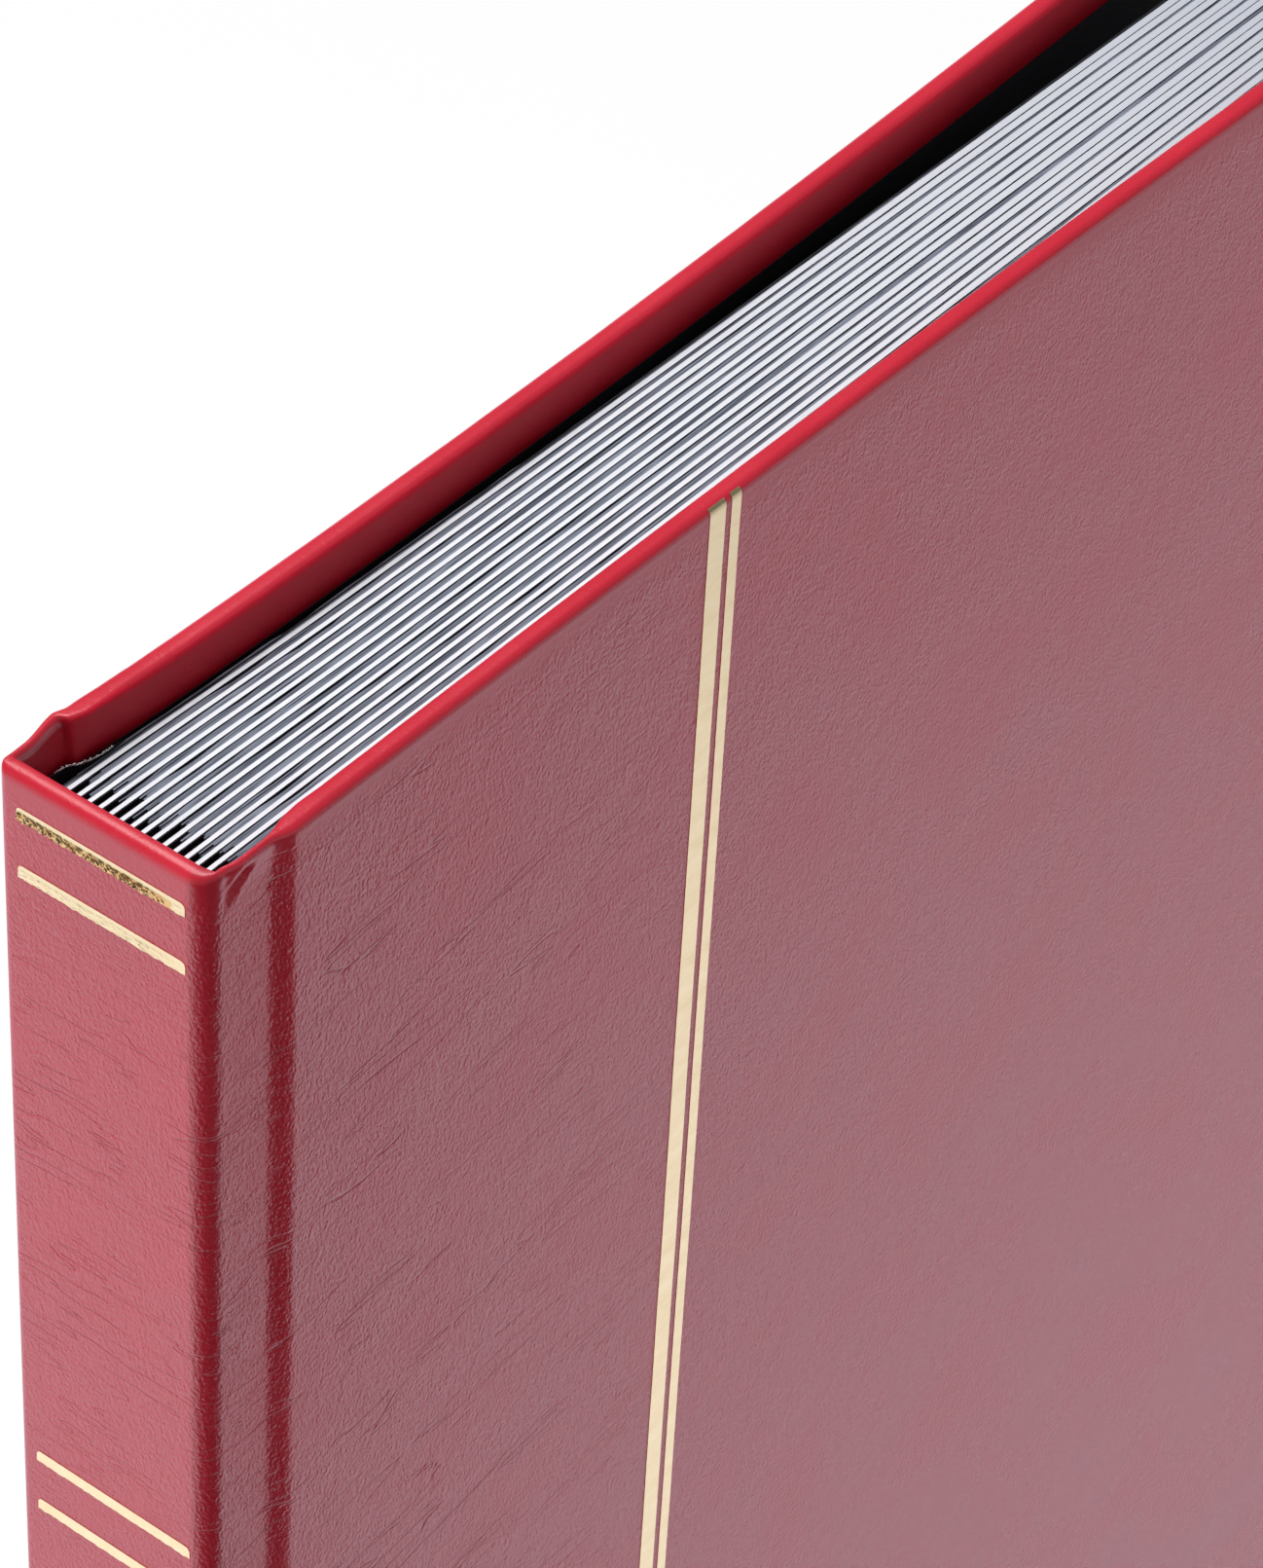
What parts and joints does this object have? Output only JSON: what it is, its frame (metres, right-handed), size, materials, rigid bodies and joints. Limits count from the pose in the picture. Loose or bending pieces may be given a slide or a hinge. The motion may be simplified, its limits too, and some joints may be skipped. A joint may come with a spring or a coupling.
{
  "type": "stamp album",
  "caption": "Case-bound stamp stockbook with a red leatherette cover, a square spine, gold lines and hinged card leaves with glassine pockets.",
  "frame": {"origin": "below the middle of the closed album, on the surface that its tail stands on", "axes": "+X from the spine to the fore edge, +Y from the front cover to the back cover, +Z from tail to head"},
  "size_m": [0.23, 0.0264, 0.305],
  "materials": {
    "leatherette": "grained red leatherette with a soft gloss",
    "greyboard": "plain grey board",
    "endpaper": "matt black paper",
    "linen": "black woven linen tape",
    "glassine": "translucent grey glassine",
    "page_card": "white card"
  },
  "bodies": {
    "spine": {"spine_board": "greyboard", "spine_leather": "leatherette", "spine_lining": "linen"},
    "front_cover": {"front_board": "greyboard", "front_leather": "leatherette", "front_pastedown": "endpaper"},
    "back_cover": {"back_board": "greyboard", "back_leather": "leatherette", "back_pastedown": "endpaper"},
    "front_flyleaf": {"front_flyleaf": "endpaper"},
    "back_flyleaf": {"back_flyleaf": "endpaper"},
    "leaf_01": {"leaf_01_card": "page_card", "leaf_01_linen": "linen", "leaf_01_glassine": "glassine"},
    "leaf_02": {"leaf_02_card": "page_card", "leaf_02_linen": "linen", "leaf_02_glassine": "glassine"},
    "leaf_03": {"leaf_03_card": "page_card", "leaf_03_linen": "linen", "leaf_03_glassine": "glassine"},
    "leaf_04": {"leaf_04_card": "page_card", "leaf_04_linen": "linen", "leaf_04_glassine": "glassine"},
    "leaf_05": {"leaf_05_card": "page_card", "leaf_05_linen": "linen", "leaf_05_glassine": "glassine"},
    "leaf_06": {"leaf_06_card": "page_card", "leaf_06_linen": "linen", "leaf_06_glassine": "glassine"},
    "leaf_07": {"leaf_07_card": "page_card", "leaf_07_linen": "linen", "leaf_07_glassine": "glassine"},
    "leaf_08": {"leaf_08_card": "page_card", "leaf_08_linen": "linen", "leaf_08_glassine": "glassine"},
    "leaf_09": {"leaf_09_card": "page_card", "leaf_09_linen": "linen", "leaf_09_glassine": "glassine"},
    "leaf_10": {"leaf_10_card": "page_card", "leaf_10_linen": "linen", "leaf_10_glassine": "glassine"},
    "leaf_11": {"leaf_11_card": "page_card", "leaf_11_linen": "linen", "leaf_11_glassine": "glassine"},
    "leaf_12": {"leaf_12_card": "page_card", "leaf_12_linen": "linen", "leaf_12_glassine": "glassine"},
    "leaf_13": {"leaf_13_card": "page_card", "leaf_13_linen": "linen", "leaf_13_glassine": "glassine"},
    "leaf_14": {"leaf_14_card": "page_card", "leaf_14_linen": "linen", "leaf_14_glassine": "glassine"},
    "leaf_15": {"leaf_15_card": "page_card", "leaf_15_linen": "linen", "leaf_15_glassine": "glassine"},
    "leaf_16": {"leaf_16_card": "page_card", "leaf_16_linen": "linen", "leaf_16_glassine": "glassine"}
  },
  "joints": [
    {"name": "front_cover_hinge", "type": "hinge", "parent": "spine", "child": "front_cover", "pos_m": [-0.11275, -0.01206, 0.1525], "axis": [0, 0, -1], "range_deg": [0, 90]},
    {"name": "back_cover_hinge", "type": "hinge", "parent": "spine", "child": "back_cover", "pos_m": [-0.11275, 0.01206, 0.1525], "axis": [0, 0, 1], "range_deg": [0, 90]},
    {"name": "front_flyleaf_hinge", "type": "hinge", "parent": "spine", "child": "front_flyleaf", "pos_m": [-0.11228, -0.01039, 0.1525], "axis": [0, 0, -1], "range_deg": [0, 80.58]},
    {"name": "back_flyleaf_hinge", "type": "hinge", "parent": "spine", "child": "back_flyleaf", "pos_m": [-0.11228, 0.01039, 0.1525], "axis": [0, 0, 1], "range_deg": [0, 80.58]},
    {"name": "leaf_01_hinge", "type": "hinge", "parent": "spine", "child": "leaf_01", "pos_m": [-0.11228, -0.00982, 0.1525], "axis": [0, 0, -1], "range_deg": [0, 71.1]},
    {"name": "leaf_02_hinge", "type": "hinge", "parent": "spine", "child": "leaf_02", "pos_m": [-0.11228, -0.00851, 0.1525], "axis": [0, 0, -1], "range_deg": [0, 61.63]},
    {"name": "leaf_03_hinge", "type": "hinge", "parent": "spine", "child": "leaf_03", "pos_m": [-0.11228, -0.00721, 0.1525], "axis": [0, 0, -1], "range_deg": [0, 52.16]},
    {"name": "leaf_04_hinge", "type": "hinge", "parent": "spine", "child": "leaf_04", "pos_m": [-0.11228, -0.0059, 0.1525], "axis": [0, 0, -1], "range_deg": [0, 42.68]},
    {"name": "leaf_05_hinge", "type": "hinge", "parent": "spine", "child": "leaf_05", "pos_m": [-0.11228, -0.0046, 0.1525], "axis": [0, 0, -1], "range_deg": [0, 33.21]},
    {"name": "leaf_06_hinge", "type": "hinge", "parent": "spine", "child": "leaf_06", "pos_m": [-0.11228, -0.00329, 0.1525], "axis": [0, 0, -1], "range_deg": [0, 23.73]},
    {"name": "leaf_07_hinge", "type": "hinge", "parent": "spine", "child": "leaf_07", "pos_m": [-0.11228, -0.00199, 0.1525], "axis": [0, 0, -1], "range_deg": [0, 14.26]},
    {"name": "leaf_08_hinge", "type": "hinge", "parent": "spine", "child": "leaf_08", "pos_m": [-0.11228, -0.00068, 0.1525], "axis": [0, 0, -1], "range_deg": [0, 4.79]},
    {"name": "leaf_09_hinge", "type": "hinge", "parent": "spine", "child": "leaf_09", "pos_m": [-0.11228, 0.00062, 0.1525], "axis": [0, 0, 1], "range_deg": [0, 4.79]},
    {"name": "leaf_10_hinge", "type": "hinge", "parent": "spine", "child": "leaf_10", "pos_m": [-0.11228, 0.00193, 0.1525], "axis": [0, 0, 1], "range_deg": [0, 14.26]},
    {"name": "leaf_11_hinge", "type": "hinge", "parent": "spine", "child": "leaf_11", "pos_m": [-0.11228, 0.00323, 0.1525], "axis": [0, 0, 1], "range_deg": [0, 23.73]},
    {"name": "leaf_12_hinge", "type": "hinge", "parent": "spine", "child": "leaf_12", "pos_m": [-0.11228, 0.00454, 0.1525], "axis": [0, 0, 1], "range_deg": [0, 33.21]},
    {"name": "leaf_13_hinge", "type": "hinge", "parent": "spine", "child": "leaf_13", "pos_m": [-0.11228, 0.00584, 0.1525], "axis": [0, 0, 1], "range_deg": [0, 42.68]},
    {"name": "leaf_14_hinge", "type": "hinge", "parent": "spine", "child": "leaf_14", "pos_m": [-0.11228, 0.00715, 0.1525], "axis": [0, 0, 1], "range_deg": [0, 52.16]},
    {"name": "leaf_15_hinge", "type": "hinge", "parent": "spine", "child": "leaf_15", "pos_m": [-0.11228, 0.00845, 0.1525], "axis": [0, 0, 1], "range_deg": [0, 61.63]},
    {"name": "leaf_16_hinge", "type": "hinge", "parent": "spine", "child": "leaf_16", "pos_m": [-0.11228, 0.00976, 0.1525], "axis": [0, 0, 1], "range_deg": [0, 71.1]}
  ],
  "couplings": [
    {"joint": "front_flyleaf_hinge", "follows": "front_cover_hinge", "ratio": 0.89474},
    {"joint": "back_flyleaf_hinge", "follows": "back_cover_hinge", "ratio": 0.89474},
    {"joint": "leaf_01_hinge", "follows": "front_cover_hinge", "ratio": 0.78947},
    {"joint": "leaf_02_hinge", "follows": "front_cover_hinge", "ratio": 0.68421},
    {"joint": "leaf_03_hinge", "follows": "front_cover_hinge", "ratio": 0.57895},
    {"joint": "leaf_04_hinge", "follows": "front_cover_hinge", "ratio": 0.47368},
    {"joint": "leaf_05_hinge", "follows": "front_cover_hinge", "ratio": 0.36842},
    {"joint": "leaf_06_hinge", "follows": "front_cover_hinge", "ratio": 0.26316},
    {"joint": "leaf_07_hinge", "follows": "front_cover_hinge", "ratio": 0.1579},
    {"joint": "leaf_08_hinge", "follows": "front_cover_hinge", "ratio": 0.052632},
    {"joint": "leaf_09_hinge", "follows": "back_cover_hinge", "ratio": 0.052632},
    {"joint": "leaf_10_hinge", "follows": "back_cover_hinge", "ratio": 0.1579},
    {"joint": "leaf_11_hinge", "follows": "back_cover_hinge", "ratio": 0.26316},
    {"joint": "leaf_12_hinge", "follows": "back_cover_hinge", "ratio": 0.36842},
    {"joint": "leaf_13_hinge", "follows": "back_cover_hinge", "ratio": 0.47368},
    {"joint": "leaf_14_hinge", "follows": "back_cover_hinge", "ratio": 0.57895},
    {"joint": "leaf_15_hinge", "follows": "back_cover_hinge", "ratio": 0.68421},
    {"joint": "leaf_16_hinge", "follows": "back_cover_hinge", "ratio": 0.78947}
  ]
}
